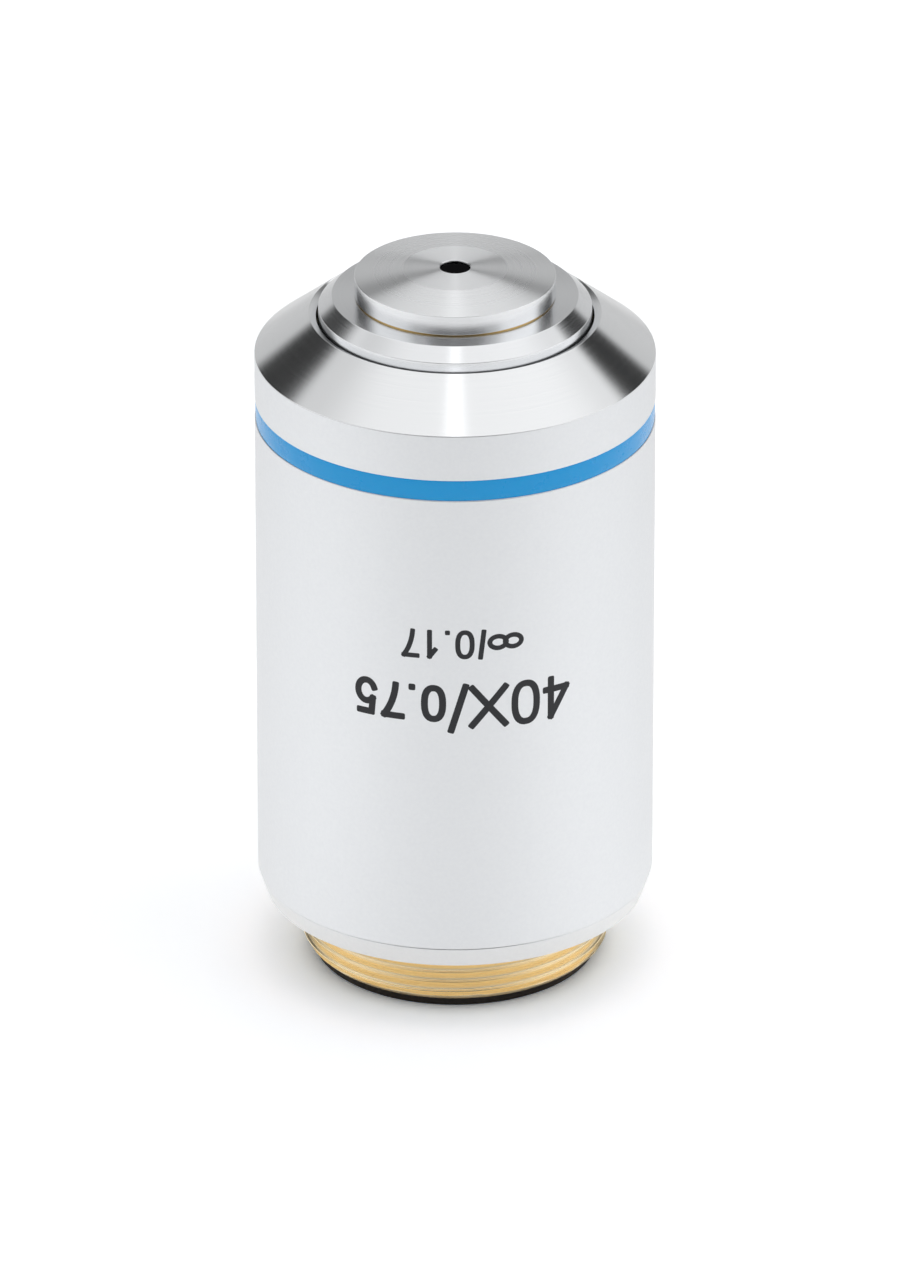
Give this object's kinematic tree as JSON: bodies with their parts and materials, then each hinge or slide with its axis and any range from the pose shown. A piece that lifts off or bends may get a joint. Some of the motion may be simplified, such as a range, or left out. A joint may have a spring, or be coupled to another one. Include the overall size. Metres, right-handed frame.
{
  "type": "microscope objective",
  "caption": "Dry microscope objective with a spring-loaded retracting nose, a colour ring and a standard screw thread behind a seating shoulder.",
  "frame": {"origin": "centre of the rear ring's face, on which the objective stands", "axes": "+Z along the optical axis towards the front lens; the objective has no front side round Z, and its engraved numbers face -Y"},
  "size_m": [0.026, 0.026, 0.049],
  "materials": {
    "satin_chrome": "satin chrome plating on brass, fine vertical grain",
    "turned_chrome": "bright chrome plating on a turned surface",
    "blue_lacquer": "glossy blue lacquer",
    "thread_brass": "bare cut brass",
    "inner_brass": "turned brass",
    "blackened_brass": "brass blackened against stray light",
    "black_anodised": "black anodised, matt",
    "screw_steel": "plain steel",
    "spring_steel": "spring steel",
    "coated_glass": "polished and coated optical glass"
  },
  "bodies": {
    "housing": {"outer_sleeve": "satin_chrome", "front_cover": "turned_chrome", "colour_ring": "blue_lacquer", "shoulder_ring": "satin_chrome", "thread_mount": "thread_brass", "rear_ring": "black_anodised", "guide_barrel": "inner_brass", "stop_ring": "inner_brass", "guide_screws": "screw_steel", "grub_screws": "screw_steel", "nose_spring": "spring_steel"},
    "lens_unit": {"lens_tube": "inner_brass", "nose_sleeve": "turned_chrome", "cap_shim": "inner_brass", "front_cap": "turned_chrome", "front_lens": "coated_glass", "meniscus_cell": "blackened_brass", "meniscus_lens": "coated_glass", "doublet_cell": "blackened_brass", "doublet_crown": "coated_glass", "doublet_flint": "coated_glass", "front_spacer": "blackened_brass", "triplet_cell": "blackened_brass", "triplet_front": "coated_glass", "triplet_middle": "coated_glass", "triplet_rear": "coated_glass", "middle_spacer": "blackened_brass", "relay_cell": "blackened_brass", "relay_crown": "coated_glass", "relay_flint": "coated_glass", "pupil_stop": "blackened_brass", "gauss_front_cell": "blackened_brass", "gauss_front_crown": "coated_glass", "gauss_front_flint": "coated_glass", "rear_spacer": "blackened_brass", "gauss_rear_cell": "blackened_brass", "gauss_rear_flint": "coated_glass", "gauss_rear_crown": "coated_glass", "lock_ring": "blackened_brass"}
  },
  "joints": [
    {"name": "nose_retract", "type": "slide", "parent": "housing", "child": "lens_unit", "axis": [0, 0, -1], "range_m": [0, 0.002], "stiffness_N_per_m": 400, "springref_m": -0.005, "deforming": ["nose_spring"]}
  ]
}
